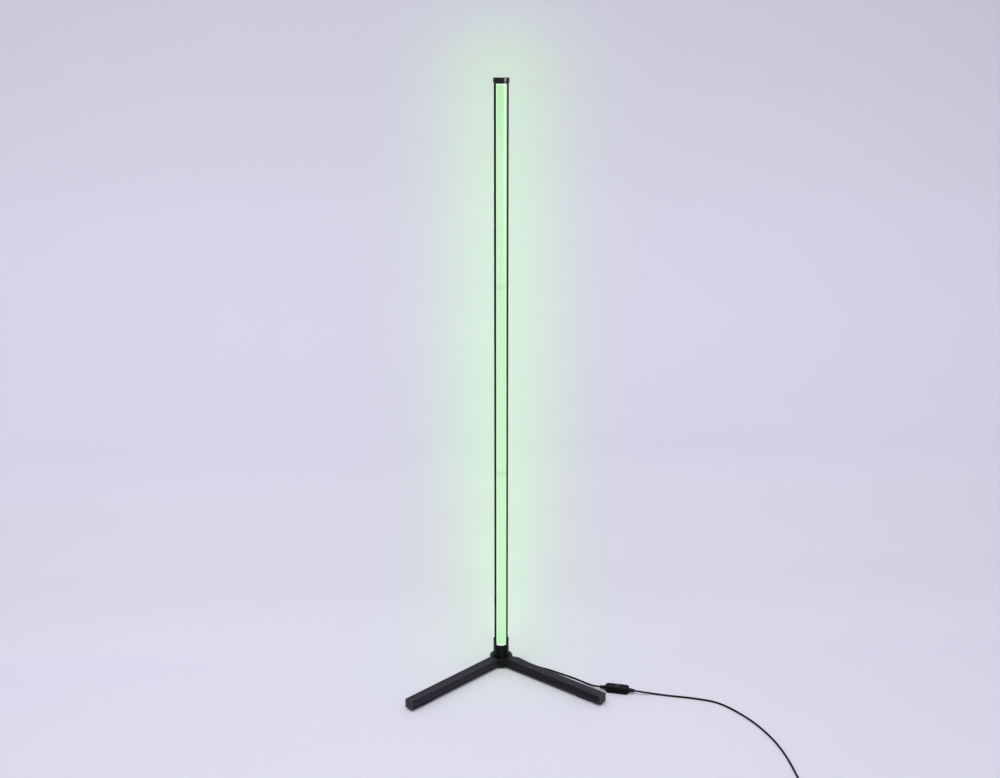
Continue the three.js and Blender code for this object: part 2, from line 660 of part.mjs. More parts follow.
// ---- assembly ----
for (let i = 0; i < SECTION_COUNT; i += 1) addSection(i);
for (let i = 1; i < SECTION_COUNT; i += 1) addJoint(i);
addTopCap();
addHub();
addLeg('left', -1);
addLeg('right', 1);
addController();
addCord();
addPlug();

export default lamp;
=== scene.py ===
from math import acos, asin, atan2, cos, pi, radians, sin, sqrt

import bmesh
import bpy
from mathutils import Matrix, Vector
from mathutils.geometry import tessellate_polygon


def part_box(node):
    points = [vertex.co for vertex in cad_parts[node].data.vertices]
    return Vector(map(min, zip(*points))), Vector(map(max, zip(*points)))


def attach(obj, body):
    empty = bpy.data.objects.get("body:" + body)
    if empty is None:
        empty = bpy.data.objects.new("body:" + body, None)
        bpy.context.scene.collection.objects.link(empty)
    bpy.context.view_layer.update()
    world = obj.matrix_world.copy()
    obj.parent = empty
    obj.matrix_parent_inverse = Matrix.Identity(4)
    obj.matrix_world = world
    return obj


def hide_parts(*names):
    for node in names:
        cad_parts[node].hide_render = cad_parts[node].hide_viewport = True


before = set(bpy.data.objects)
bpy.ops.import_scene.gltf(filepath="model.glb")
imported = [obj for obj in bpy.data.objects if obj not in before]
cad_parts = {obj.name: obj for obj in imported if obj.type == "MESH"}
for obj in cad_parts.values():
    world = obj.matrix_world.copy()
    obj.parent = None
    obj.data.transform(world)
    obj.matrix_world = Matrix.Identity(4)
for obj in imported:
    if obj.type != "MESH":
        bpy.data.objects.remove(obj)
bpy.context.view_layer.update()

MM = 0.001
GAP = 0.3

# ---- sizes that the frame gives ----


def box(node):
    """Lowest and highest corner of a CAD node, in millimetres."""
    low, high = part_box(node)
    return low / MM, high / MM


def centre(node):
    low, high = box(node)
    return (low + high) / 2


SECTIONS = (1, 2, 3)
TUBE_R = box("channel_1")[1].x
TUBE_WALL = 1.5
BORE_R = TUBE_R - TUBE_WALL
SEAT_Z = box("channel_1")[0].z
PITCH = box("channel_2")[0].z - SEAT_Z
TUBE_TOP = SEAT_Z + len(SECTIONS) * PITCH
LEG_ANGLE = atan2(centre("right_leg_pad").x, -centre("right_leg_pad").y)

OPENING = radians(49.5)       # half angle of the channel's open front
WEB_FRONT, WEB_BACK = 0.5, 2.0     # the flat that the light strip lies on
DIFFUSER_HALF = radians(48.2)
DIFFUSER_INNER = 13.3
POST_R = BORE_R - GAP


def new_object(name, data):
    made = bpy.data.objects.new(name, data)
    bpy.context.scene.collection.objects.link(made)
    return made


# ---- camera ----
CAMERA_PLACE = (-0.13339, -2.31604, 1.25742)
CAMERA_TILT = 74.977               # degrees up from straight down
CAMERA_HEADING = -3.234            # degrees from +Y, and below 0 it looks to the right
CAMERA_LENS, CAMERA_SENSOR = 41.4, 36


def add_camera():
    data = bpy.data.cameras.new("camera")
    data.lens = CAMERA_LENS
    data.sensor_width = CAMERA_SENSOR
    camera = new_object("camera", data)
    camera.location = CAMERA_PLACE
    camera.rotation_euler = (radians(CAMERA_TILT), 0, radians(CAMERA_HEADING))
    bpy.context.scene.camera = camera


add_camera()

# ---- materials ----


class Coat:
    """A node material with one Principled shader, and short calls for what feeds it."""

    def __init__(self, name, color, roughness, metallic=0, specular=0.5):
        self.material = bpy.data.materials.new(name)
        self.material.use_nodes = True
        self.tree = self.material.node_tree
        self.shader = self.tree.nodes["Principled BSDF"]
        self.feed(color, "Base Color")
        self.feed(roughness, "Roughness")
        self.feed(metallic, "Metallic")
        self.feed(specular, "Specular IOR Level")
        self.place = self.node("ShaderNodeTexCoord").outputs["Object"]

    def node(self, kind, inputs=None, **settings):
        """A node with these settings, and a number, a colour or another node's output on each input."""
        made = self.tree.nodes.new(kind)
        for key, value in settings.items():
            setattr(made, key, value)
        for name, value in (inputs or {}).items():
            self.give(value, made.inputs[name])
        return made

    def link(self, source, target):
        self.tree.links.new(source, target)

    def give(self, value, socket):
        if isinstance(value, tuple):
            socket.default_value = value if socket.type == "VECTOR" else (*value, 1)
        elif isinstance(value, (int, float)):
            socket.default_value = value
        else:
            self.link(value, socket)

    def feed(self, value, name):
        self.give(value, self.shader.inputs[name])

    def axes(self):
        split = self.node("ShaderNodeSeparateXYZ", {"Vector": self.place})
        return [split.outputs[axis] for axis in "XYZ"]

    def scaled(self, scale):
        """The place on the piece, scaled: a low number draws the pattern out along its axis."""
        scale = scale if isinstance(scale, tuple) else (scale,) * 3
        return self.node("ShaderNodeMapping", {"Vector": self.place, "Scale": scale}).outputs["Vector"]

    def noise(self, scale, detail=3, roughness=0.55):
        inputs = {"Vector": self.scaled(scale), "Scale": 1, "Detail": detail, "Roughness": roughness}
        return self.node("ShaderNodeTexNoise", inputs).outputs["Fac"]

    def cells(self, scale):
        inputs = {"Vector": self.scaled(scale), "Scale": 1}
        return self.node("ShaderNodeTexVoronoi", inputs).outputs["Distance"]

    def math(self, operation, first, second=0):
        return self.node("ShaderNodeMath", {0: first, 1: second}, operation=operation).outputs["Value"]

    def product(self, first, *factors):
        for factor in factors:
            first = self.math("MULTIPLY", first, factor)
        return first

    def between(self, factor, low, high, start=0, end=1):
        """Maps factor from start..end to low..high."""
        inputs = {"Value": factor, "From Min": start, "From Max": end, "To Min": low, "To Max": high}
        return self.node("ShaderNodeMapRange", inputs).outputs["Result"]

    def mix(self, factor, first, second):
        inputs = {"Factor": factor, 6: first, 7: second}
        return self.node("ShaderNodeMix", inputs, data_type="RGBA").outputs[2]

    def bump(self, height, depth, strength=1):
        """Bump from a height of 0 to 1 that stands for this many millimetres."""
        inputs = {"Height": height, "Distance": depth * MM, "Strength": strength}
        self.feed(self.node("ShaderNodeBump", inputs).outputs["Normal"], "Normal")

    def edges(self, radius):
        """1 along sharp edges, 0 on flat faces."""
        bent = self.node("ShaderNodeBevel", {"Radius": radius * MM}, samples=4).outputs["Normal"]
        plain = self.node("ShaderNodeNewGeometry").outputs["True Normal"]
        dot = self.node("ShaderNodeVectorMath", {0: bent, 1: plain}, operation="DOT_PRODUCT")
        return self.between(dot.outputs["Value"], 1.0, 0.0, 0.80, 0.99)

    def paint(self, patches, dark, light, low, high):
        """Colour and roughness that go from one to the other over the same patches."""
        self.feed(self.mix(patches, dark, light), "Base Color")
        self.feed(self.between(patches, low, high), "Roughness")

    def worn_edges(self, body_color, wear_color, radius, amount):
        """Edges rubbed in patches down to wear_color."""
        patches = self.between(self.noise(90, 4), 0, 1, 0.42, 0.62)
        mask = self.product(self.edges(radius), patches, amount)
        self.feed(self.mix(mask, body_color, wear_color), "Base Color")


def make_anodised():
    coat = Coat("black anodised aluminium", (0.004, 0.005, 0.005), 0.55, specular=0.025)
    streaks = coat.noise((900, 900, 5), 4)
    body = coat.mix(coat.noise((14, 14, 6)), (0.002, 0.003, 0.0025), (0.005, 0.006, 0.0055))
    coat.worn_edges(body, (0.05, 0.055, 0.055), 0.2, 0.3)
    coat.feed(coat.between(streaks, 0.46, 0.66), "Roughness")
    coat.bump(streaks, 0.02)
    return coat.material


def make_coated_steel():
    coat = Coat("satin coated steel", (0.012, 0.010, 0.016), 0.5, specular=0.17)
    peel = coat.noise(620, 2)
    lines = coat.noise((230, 1.5, 230), 2)
    clouds = coat.noise((22, 8, 22))
    streaked = coat.between(lines, 0, 1, 0.44, 0.57)
    body = coat.mix(streaked, (0.002, 0.0015, 0.0035), (0.029, 0.025, 0.036))
    body = coat.mix(coat.product(clouds, 0.5), body, (0.010, 0.0085, 0.014))
    coat.worn_edges(body, (0.06, 0.06, 0.066), 0.4, 0.4)
    coat.feed(coat.between(lines, 0.40, 0.58), "Roughness")
    coat.bump(coat.math("ADD", coat.product(lines, 0.6), coat.product(peel, 0.4)), 0.05)
    return coat.material


def make_hub_coating():
    coat = Coat("satin moulded hub", (0.005, 0.005, 0.006), 0.42, specular=0.12)
    clouds = coat.noise(40)
    body = coat.mix(clouds, (0.003, 0.003, 0.0035), (0.007, 0.007, 0.008))
    coat.worn_edges(body, (0.035, 0.035, 0.04), 0.35, 0.45)
    coat.feed(coat.between(clouds, 0.34, 0.52), "Roughness")
    coat.bump(coat.cells(1500), 0.02, 0.7)
    return coat.material


def make_gloss_cap():
    coat = Coat("gloss black cap", (0.003, 0.003, 0.003), 0.14, specular=0.3)
    coat.paint(coat.noise(60), (0.002, 0.002, 0.002), (0.005, 0.005, 0.005), 0.10, 0.24)
    coat.bump(coat.noise((30, 1100, 600), 2), 0.004, 0.5)
    return coat.material


def make_moulded(name, dark, light, low, high, specular=0.35):
    """Moulded plastic with a fine eroded grain."""
    coat = Coat(name, dark, low, specular=specular)
    clouds = coat.noise(55)
    body = coat.mix(clouds, dark, light)
    wear = tuple(min(1.0, channel * 3 + 0.02) for channel in light)
    coat.worn_edges(body, wear, 0.3, 0.5)
    coat.feed(coat.between(clouds, low, high), "Roughness")
    coat.bump(coat.cells(1300), 0.025, 0.8)
    return coat.material


def make_soft(name, dark, light, low, high, grain, scuffs, depth, specular):
    """Rubber or a cord's jacket: dull patches, and a fine grain of this depth."""
    coat = Coat(name, dark, low, specular=specular)
    coat.paint(coat.noise(scuffs, 4, 0.7), dark, light, low, high)
    coat.bump(coat.noise(grain), depth)
    return coat.material


def make_metal(name, dark, light, low, high):
    coat = Coat(name, dark, low, 1.0)
    grain = coat.noise((500, 500, 60))
    body = coat.mix(coat.noise(120), dark, light)
    wear = tuple(min(1.0, channel * 1.5 + 0.12) for channel in light)
    coat.worn_edges(body, wear, 0.2, 0.6)
    coat.feed(coat.between(grain, low, high), "Roughness")
    coat.bump(grain, 0.01)
    return coat.material


def make_board(name, dark, light):
    coat = Coat(name, dark, 0.45)
    coat.paint(coat.noise(60), dark, light, 0.38, 0.56)
    coat.bump(coat.cells(900), 0.02, 0.6)
    return coat.material


def make_led_resin():
    coat = Coat("led resin", (0.75, 0.80, 0.60), 0.2)
    coat.paint(coat.noise(2500, 2), (0.70, 0.78, 0.50), (0.85, 0.90, 0.70), 0.12, 0.3)
    coat.feed((0.35, 1.0, 0.35), "Emission Color")
    coat.feed(2.0, "Emission Strength")
    return coat.material


# How the opal cover glows: along its middle, near the tube's ends, along its long edges and at its very ends.
GLOW = (0.40, 0.70, 0.40)
GLOW_DEEP = (0.27, 0.64, 0.25)
GLOW_EDGE = (0.57, 0.82, 0.58)
GLOW_RIM = (0.60, 0.78, 0.58)
OPAL_BODY = (0.20, 0.22, 0.18)
GLOW_AND_SHADE_SHIFT = 0.5                  # how far the glow's middle lies to the left of the cover's, and the painted lip shade with it
LED_PITCH = 32


def opal_color(coat, from_seat, to_top, to_end, across):
    deep = coat.math("MAXIMUM", coat.between(to_top, 0.9, 0.0, 0.005, 0.16),
                     coat.between(from_seat, 0.45, 0.0, 0.005, 0.06))
    color = coat.mix(deep, GLOW, GLOW_DEEP)
    color = coat.mix(coat.between(across, 0, 1, 0.0075, 0.0098), color, GLOW_EDGE)
    return coat.mix(coat.between(to_end, 1, 0, 0.002, 0.006), color, GLOW_RIM)


def opal_level(coat, from_seat, to_top, to_end, across):
    """Dimmer over the joints, with painted shade under the cap and along the channel's lips, and a faint beat
    from the LEDs.
    """
    in_section = coat.math("PINGPONG", from_seat, PITCH * MM / 2)
    joint = coat.between(in_section, 0.90, 1.0, 0.003, 0.0085)
    joint = coat.math("MAXIMUM", joint, coat.between(to_end, 1, 0, 0.006, 0.012))
    beat = coat.math("SINE", coat.product(from_seat, 2 * pi / (LED_PITCH * MM)))
    return coat.product(
        joint,
        coat.between(beat, 0.985, 1.0, -1.0, 1.0),
        coat.between(coat.noise((240, 240, 1.5), 2), 0.96, 1.04),
        coat.between(from_seat, 1.045, 0.985, 0.3 - SEAT_Z * MM, 1.1 - SEAT_Z * MM),
        # painted shade of the cap's rim on the cover's top end
        coat.between(to_top, 0.1, 1.0, 0.0013, 0.0018),
        # painted shade of the channel's lips on the cover's long edges
        coat.between(across, 1, 0.15, 0.0099, 0.0104),
    )


def make_opal():
    """Opal plastic that is lit from inside."""
    coat = Coat("lit opal diffuser", OPAL_BODY, 0.32)
    x, _, z = coat.axes()
    from_seat = coat.math("SUBTRACT", z, SEAT_Z * MM)
    to_top = coat.math("SUBTRACT", TUBE_TOP * MM, z)
    to_end = coat.math("MINIMUM", from_seat, to_top)
    across = coat.math("ABSOLUTE", coat.math("ADD", x, GLOW_AND_SHADE_SHIFT * MM))
    coat.feed(opal_color(coat, from_seat, to_top, to_end, across), "Emission Color")
    coat.feed(opal_level(coat, from_seat, to_top, to_end, across), "Emission Strength")
    coat.feed(coat.between(coat.noise((120, 120, 40)), 0.18, 0.30), "Roughness")
    coat.bump(coat.noise((1100, 1100, 300), 2), 0.006)
    return coat.material


MATERIALS = {
    "channel": make_anodised(),
    "diffuser": make_opal(),
    "coated_steel": make_coated_steel(),
    "hub_coating": make_hub_coating(),
    "gloss_cap": make_gloss_cap(),
    "moulded_black": make_moulded("black moulding", (0.010, 0.010, 0.012), (0.018, 0.018, 0.021), 0.42, 0.6),
    "controller_case": make_moulded(
        "controller case", (0.004, 0.0025, 0.0025), (0.009, 0.006, 0.006), 0.28, 0.42, specular=0.06),
    "board": make_board("white board", (0.62, 0.63, 0.60), (0.78, 0.79, 0.76)),
    "rubber": make_soft(
        "matt black rubber", (0.005, 0.005, 0.006), (0.015, 0.014, 0.014), 0.68, 0.9, 900, 70, 0.05, 0.2),
    "cord_jacket": make_soft(
        "black cord jacket", (0.002, 0.002, 0.003), (0.007, 0.006, 0.008), 0.34, 0.56, 700, 45, 0.03, 0.08),
    "screw_steel": make_metal(
        "blackened screw steel", (0.045, 0.045, 0.048), (0.09, 0.09, 0.095), 0.28, 0.45),
    "plated_steel": make_metal("nickel plate", (0.55, 0.56, 0.58), (0.72, 0.72, 0.73), 0.16, 0.3),
}
RESIN = make_led_resin()
SOLDER = make_metal("solder pads", (0.60, 0.60, 0.60), (0.75, 0.74, 0.72), 0.25, 0.4)
GOLD = make_metal("gold contacts", (0.72, 0.50, 0.18), (0.85, 0.62, 0.28), 0.18, 0.3)

# ---- meshes ----


def solid(name, points, faces):
    """A mesh object from points in millimetres, with its faces turned outwards."""
    mesh = bpy.data.meshes.new(name)
    mesh.from_pydata([Vector(point) * MM for point in points], [], faces)
    shape = bmesh.new()
    shape.from_mesh(mesh)
    bmesh.ops.recalc_face_normals(shape, faces=shape.faces)
    shape.to_mesh(mesh)
    shape.free()
    return new_object(name, mesh)


def polar(radius, angle):
    """A point around the tube; the angle runs from -Y towards +X."""
    return (radius * sin(angle), -radius * cos(angle))


def arc(radius, start, end, steps):
    return [polar(radius, start + (end - start) * i / steps) for i in range(steps + 1)]


def quarter(radius, steps):
    """A rounded edge from side to end, as (how far inside the side, how far inside the end) pairs."""
    turns = [pi / 2 * k / steps for k in range(steps + 1)]
    return [(radius * (1 - cos(turn)), radius * (1 - sin(turn))) for turn in turns]


def rounded(half_x, half_y, radius, steps=8):
    """The outline of a rectangle with round corners."""
    points = []
    for sign_x, sign_y, start in ((1, 1, 0), (-1, 1, 90), (-1, -1, 180), (1, -1, 270)):
        for i in range(steps + 1):
            angle = radians(start + 90 * i / steps)
            points.append((
                sign_x * (half_x - radius) + radius * cos(angle),
                sign_y * (half_y - radius) + radius * sin(angle),
            ))
    return points


def belt(low, high, size):
    """The faces between two rings of points that start at these numbers."""
    turns = [(i, (i + 1) % size) for i in range(size)]
    return [(low + i, low + j, high + j, high + i) for i, j in turns]


def prism(name, loops, low, high):
    """An outline, and then its holes, raised from one height to another."""
    flat = [point for loop in loops for point in loop]
    count = len(flat)
    points = [(x, y, z) for z in (low, high) for x, y in flat]
    faces = []
    first = 0
    for loop in loops:
        faces += belt(first, first + count, len(loop))
        first += len(loop)
    for a, b, c in tessellate_polygon([[Vector((x, y, 0)) for x, y in loop] for loop in loops]):
        faces.append((a, b, c))
        faces.append((a + count, b + count, c + count))
    return solid(name, points, faces)


def lathe(name, profile, steps=64):
    """A turned piece about +Z, from (radius, height) pairs that start and end on the axis."""
    points = [(0, 0, profile[0][1])]
    faces = []
    for radius, height in profile[1:-1]:
        for i in range(steps):
            angle = 2 * pi * i / steps
            points.append((radius * cos(angle), radius * sin(angle), height))
    points.append((0, 0, profile[-1][1]))
    last = len(points) - 1
    top = last - steps
    for low in range(1, top, steps):
        faces += belt(low, low + steps, steps)
    for i in range(steps):
        j = (i + 1) % steps
        faces += [(0, 1 + j, 1 + i), (top + i, top + j, last)]
    return solid(name, points, faces)


Z_TO_Y = Matrix.Rotation(radians(-90), 4, "X")     # what stands upright comes to lie along +Y
Z_TO_BACK = Matrix.Rotation(radians(90), 4, "X")   # or along -Y
Z_TO_X = Matrix.Rotation(radians(90), 4, "Y")
UPSIDE_DOWN = Matrix.Rotation(radians(180), 4, "X")


def shifted(x, y, z):
    return Matrix.Translation(Vector((x, y, z)) * MM)


def moved(piece, matrix):
    """Moves the piece's mesh."""
    piece.data.transform(matrix)
    return piece


def rod(radius, low, high, x=0, y=0, steps=48):
    made = lathe("rod", [(0, low), (radius, low), (radius, high), (0, high)], steps)
    return moved(made, shifted(x, y, 0))


def cross_rod(radius, y_low, y_high, z):
    """A rod along Y."""
    return moved(rod(radius, y_low, y_high, steps=24), shifted(0, 0, z) @ Z_TO_Y)


def block(low, high):
    outline = [(low[0], low[1]), (high[0], low[1]), (high[0], high[1]), (low[0], high[1])]
    return prism("block", [outline], low[2], high[2])


def settle(piece):
    """Turns the piece's modifiers into its mesh."""
    graph = bpy.context.evaluated_depsgraph_get()
    mesh = bpy.data.meshes.new_from_object(piece.evaluated_get(graph))
    piece.modifiers.clear()
    piece.data = mesh
    return piece


def carve(base, joined=(), cut=()):
    """The base with shapes joined to it and then others cut out of it."""
    for operation, tools in (("UNION", joined), ("DIFFERENCE", cut)):
        for tool in tools:
            modifier = base.modifiers.new("carve", "BOOLEAN")
            modifier.object = tool
            modifier.operation = operation
            modifier.solver = "EXACT"
    settle(base)
    for tool in (*joined, *cut):
        bpy.data.objects.remove(tool)
    return base


def bevel(piece, width, segments, angle):
    """A modifier that rounds the edges sharper than the angle."""
    modifier = piece.modifiers.new("edges", "BEVEL")
    modifier.width = width * MM
    modifier.segments = segments
    modifier.limit_method = "ANGLE"
    modifier.angle_limit = radians(angle)
    return modifier


def soften(piece, width, segments=2, angle=50):
    bevel(piece, width, segments, angle).miter_outer = "MITER_ARC"
    return settle(piece)


def shade(piece, angle=45):
    piece.data.shade_smooth()
    piece.data.set_sharp_from_angle(angle=radians(angle))
    piece.modifiers.new("normals", "WEIGHTED_NORMAL").keep_sharp = True


def merged(name, parts):
    """One piece from several closed shapes, each with its own material."""
    shape = bmesh.new()
    materials = []
    for part, material in parts:
        if material not in materials:
            materials.append(material)
        known = len(shape.faces)
        shape.from_mesh(part.data)
        shape.faces.ensure_lookup_table()
        for face in shape.faces[known:]:
            face.material_index = materials.index(material)
        bpy.data.objects.remove(part)
    mesh = bpy.data.meshes.new(name)
    shape.to_mesh(mesh)
    shape.free()
    for material in materials:
        mesh.materials.append(material)
    return new_object(name, mesh)


def show(piece, node, slot, place=None, body="root"):
    """Puts a piece in the place of its CAD node."""
    piece.name = f"{node}_detail"
    if not piece.data.materials:
        piece.data.materials.append(MATERIALS[slot])
    if place is not None:
        piece.matrix_world = place
    shade(piece)
    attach(piece, body)
    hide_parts(node)
    return piece


def dress(node, slot, edge=0.15):
    """Gives a CAD node its material, and softens its edges."""
    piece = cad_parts[node]
    for held in piece.material_slots:
        held.material = MATERIALS[slot]
    bevel(piece, edge, 2, 38)


# ---- cords ----
CORD_R = 1.9

# From the hub to the controller, along the floor behind the right leg.
LEAD_ROUTE = [
    (33.3, 6, 10.5), (37, 5.9, 10.15), (41, 5.1, 9), (45.5, 3.3, 7.3), (50.5, 0.6, 5.9), (56, -3, 4.7),
    (62, -7.6, 3.6), (68.5, -12.5, 2.75), (77, -18.9, 2.15), (88, -26.8, 2.1), (103, -36.2, 2.1),
    (119, -48.4, 2.1), (135.3, -61.2, 2.1), (151.5, -74.2, 2.1), (165, -86.4, 2.1), (177, -98.6, 2.1),
    (184.3, -106.4, 2.7), (189.9, -112.9, 4), (193.8, -117.3, 5.4), (196.9, -120.5, 6.5),
    (200.14, -123.05, 7.1), (203.83, -124.59, 7.2),
]

# From the controller, along the floor to the coil.
SUPPLY_ROUTE = [
    (275.17, -146.41, 7.2), (280.9, -148.1, 7.1), (287.5, -149.4, 6.4), (294.5, -149.9, 5.2),
    (302, -149.8, 3.9), (310, -150.6, 2.8), (321, -153.4, 2.2), (337, -158.6, 2.1), (353, -163.2, 2.1),
    (369, -167.2, 2.1), (385, -171.6, 2.1), (401, -176.9, 2.1), (417, -182.6, 2.1), (432.2, -189.6, 2.1),
    (446.4, -200, 2.1), (459.4, -214.4, 2.1), (472, -231.8, 2.1), (484, -251.2, 2.1), (495, -272, 2.1),
    (504.8, -295.8, 2.1), (513.4, -322.3, 2.1), (520.6, -352.4, 2.1), (525.4, -388, 2.1),
    (527.4, -426, 2.1), (527.4, -465, 2.1), (527, -500, 2.1), (527, -516.2, 2.1),
]

COIL_CENTRE = centre("cord_coil")
COIL_INNER, COIL_STEP = 15.3, 2 * CORD_R
COIL_LAYER = 4                     # turns in each of the two layers
COIL_LOW, COIL_HIGH = 2.8, 6.6     # heights of the layers' middles
COIL_TURNS = 7.25
COIL_SHIFT = (0.80, 0.96)          # the part of each turn where it steps to the next radius
POINTS_A_TURN = 36
PLUG_Z = centre("usb_body").z
PLUG_END_X = box("usb_body")[1].x


def smooth_step(value):
    value = min(1, max(0, value))
    return value * value * (3 - 2 * value)


def coil_point(turn):
    """A point on the coil after so many turns, clockwise from above: inwards below, then outwards on top."""
    whole = int(turn)
    shift = smooth_step((turn - whole - COIL_SHIFT[0]) / (COIL_SHIFT[1] - COIL_SHIFT[0]))
    if whole < COIL_LAYER:
        place = COIL_LAYER - 1 - whole - (shift if whole < COIL_LAYER - 1 else 0)
    else:
        place = whole - COIL_LAYER + shift
    radius = COIL_INNER + COIL_STEP * place
    lifted = shift if whole == COIL_LAYER - 1 else float(whole >= COIL_LAYER)
    angle = -2 * pi * turn
    return (
        COIL_CENTRE.x + radius * cos(angle),
        COIL_CENTRE.y + radius * sin(angle),
        COIL_LOW + (COIL_HIGH - COIL_LOW) * lifted,
    )


def coil_route():
    steps = round(COIL_TURNS * POINTS_A_TURN)
    return [coil_point(COIL_TURNS * i / steps) for i in range(steps + 1)]


def curve_through(points, spans=4):
    """Centripetal Catmull-Rom points between given ones, so the cord runs as one smooth line."""
    points = [Vector(point) for point in points]
    ends = [2 * points[0] - points[1], *points, 2 * points[-1] - points[-2]]
    line = []
    for before, start, end, after in zip(ends, ends[1:], ends[2:], ends[3:]):
        t1 = sqrt((start - before).length)
        t2 = t1 + sqrt((end - start).length)
        t3 = t2 + sqrt((after - end).length)
        for i in range(spans):
            t = t1 + (t2 - t1) * i / spans
            a1 = before.lerp(start, t / t1)
            a2 = start.lerp(end, (t - t1) / (t2 - t1))
            a3 = end.lerp(after, (t - t2) / (t3 - t2))
            b1 = a1.lerp(a2, t / t2)
            b2 = a2.lerp(a3, (t - t1) / (t3 - t1))
            line.append(b1.lerp(b2, (t - t1) / (t2 - t1)))
    line.append(points[-1])
    return line


def cord_piece(name, route):
    data = bpy.data.curves.new(name, "CURVE")
    data.dimensions = "3D"
    data.bevel_depth = CORD_R * MM
    data.bevel_resolution = 5
    data.use_fill_caps = True
    spline = data.splines.new("POLY")
    spline.points.add(len(route) - 1)
    for point, held in zip(route, spline.points):
        held.co = (*(Vector(point) * MM), 1)
    spline.use_smooth = True
    data.materials.append(MATERIALS["cord_jacket"])
    piece = new_object(name, data)
    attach(piece, "root")
    return piece


def supply_route():
    """Along the floor, round the coil and into the plug's tail."""
    coil = coil_route()
    x, y, z = coil[-1]
    into_plug = [
        (x, y, z), (x - 6, y, z - 0.7), (x - 11, y, PLUG_Z + 0.4), (PLUG_END_X, y, PLUG_Z),
        (PLUG_END_X - 2, y, PLUG_Z),
    ]
    onto_coil = curve_through([SUPPLY_ROUTE[-1], coil[0]])
    return [*curve_through(SUPPLY_ROUTE), *onto_coil[1:-1], *coil, *curve_through(into_plug)[1:]]


lead_line = curve_through(LEAD_ROUTE)
lead = cord_piece("hub_lead", lead_line)
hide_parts("lead_cord")

supply_line = supply_route()
supply = cord_piece("supply_lead", supply_line)
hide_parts("supply_cord", "cord_coil")

# ---- light tube ----
DRILL_HALF, DRILL_DEPTH = radians(1.3), 0.3    # the fine groove down the channel's back
SCREW_HOLE = 1.8
JOINT_SCREWS = [f"joint_screw_{joint}_{end}" for joint in SECTIONS[:-1] for end in ("low", "high")]
BACK_SCREWS = ["hub_screw", *JOINT_SCREWS, "cap_screw"]


def back_holes(low, high):
    heights = [centre(screw).z for screw in BACK_SCREWS]
    return [cross_rod(SCREW_HOLE, BORE_R - 2, TUBE_R + 2, z) for z in heights if low < z < high]


def channel_loops():
    full = 2 * pi
    front = acos(-WEB_FRONT / BORE_R)
    back = acos(-WEB_BACK / BORE_R)
    outline = arc(TUBE_R, OPENING, pi - DRILL_HALF, 44)
    outline.append(polar(TUBE_R - DRILL_DEPTH, pi))
    outline += arc(TUBE_R, pi + DRILL_HALF, full - OPENING, 44)
    outline += arc(BORE_R, full - OPENING, full - front, 10)
    outline += arc(BORE_R, front, OPENING, 10)
    return [outline, arc(BORE_R, back, full - back, 56)]


def diffuser_outline():
    """A bowed cover with a clip along each side that hooks behind the channel's lip."""
    side = [(9.7, -8.2), (10.3, -7.6), (9.4, -6.2), (8.6, -6.2)]
    turn = asin(side[-1][0] / DIFFUSER_INNER)
    outline = arc(TUBE_R, -DIFFUSER_HALF, DIFFUSER_HALF, 48)
    outline.append(polar(DIFFUSER_INNER, DIFFUSER_HALF))
    outline += side
    outline += arc(DIFFUSER_INNER, turn, -turn, 32)
    outline += [(-x, y) for x, y in reversed(side)]
    outline.append(polar(DIFFUSER_INNER, -DIFFUSER_HALF))
    return outline


LEDS = 12                          # on each strip
LED_HALF, LED_TALL, LED_WELL = 2.5, 1.6, 2.05
PAD_LONG, PAD_WIDE, PAD_THICK = 0.7, 1.2, 0.25


def circle(radius, steps=24):
    turns = [2 * pi * i / steps for i in range(steps)]
    return [(radius * cos(turn), radius * sin(turn)) for turn in turns]


def led_parts(front, height):
    """One light on the strip: its case with a round well, the resin in it and its solder."""
    place = shifted(0, front, height) @ Z_TO_BACK
    case = prism("case", [rounded(LED_HALF, LED_HALF, 0.3, 2), circle(LED_WELL + 0.05)], 0, LED_TALL)
    resin = lathe("resin", [(0, 0), (LED_WELL, 0), (LED_WELL, 1.45), (LED_WELL * 0.6, 1.3), (0, 1.25)], 24)
    parts = [(moved(case, place), MATERIALS["board"]), (moved(resin, place), RESIN)]
    for x in (-LED_HALF - PAD_LONG, LED_HALF):
        for y in (-1.6, 0.4):
            pad = block((x, y, 0), (x + PAD_LONG, y + PAD_WIDE, PAD_THICK))
            parts.append((moved(pad, place), SOLDER))
    return parts


def add_led_strip(i):
    low, high = box(f"led_strip_{i}")
    front = low.y + LED_TALL
    base = block((low.x, front, low.z), (high.x, high.y, high.z))
    parts = [(soften(base, 0.12), MATERIALS["board"])]
    middle = SEAT_Z + (i - 0.5) * PITCH
    for led in range(LEDS):
        parts += led_parts(front, middle + (led - (LEDS - 1) / 2) * LED_PITCH)
    show(merged("strip", parts), f"led_strip_{i}", "board")


def add_section(i):
    low, high = box(f"channel_{i}")
    channel = carve(prism("channel", channel_loops(), low.z, high.z), cut=back_holes(low.z, high.z))
    show(soften(channel, 0.2), f"channel_{i}", "channel")
    diffuser = prism("diffuser", [diffuser_outline()], low.z, high.z)
    show(soften(diffuser, 0.15), f"diffuser_{i}", "diffuser")
    add_led_strip(i)
    dress(f"strip_plug_{i}", "moulded_black")
    dress(f"strip_socket_{i}", "moulded_black")


def post_outline():
    """The D-shaped post that fills the chamber behind the strip."""
    chord = acos(-(WEB_BACK + GAP) / POST_R)
    return arc(POST_R, chord, 2 * pi - chord, 48)


CAP_ROUND = 1.6


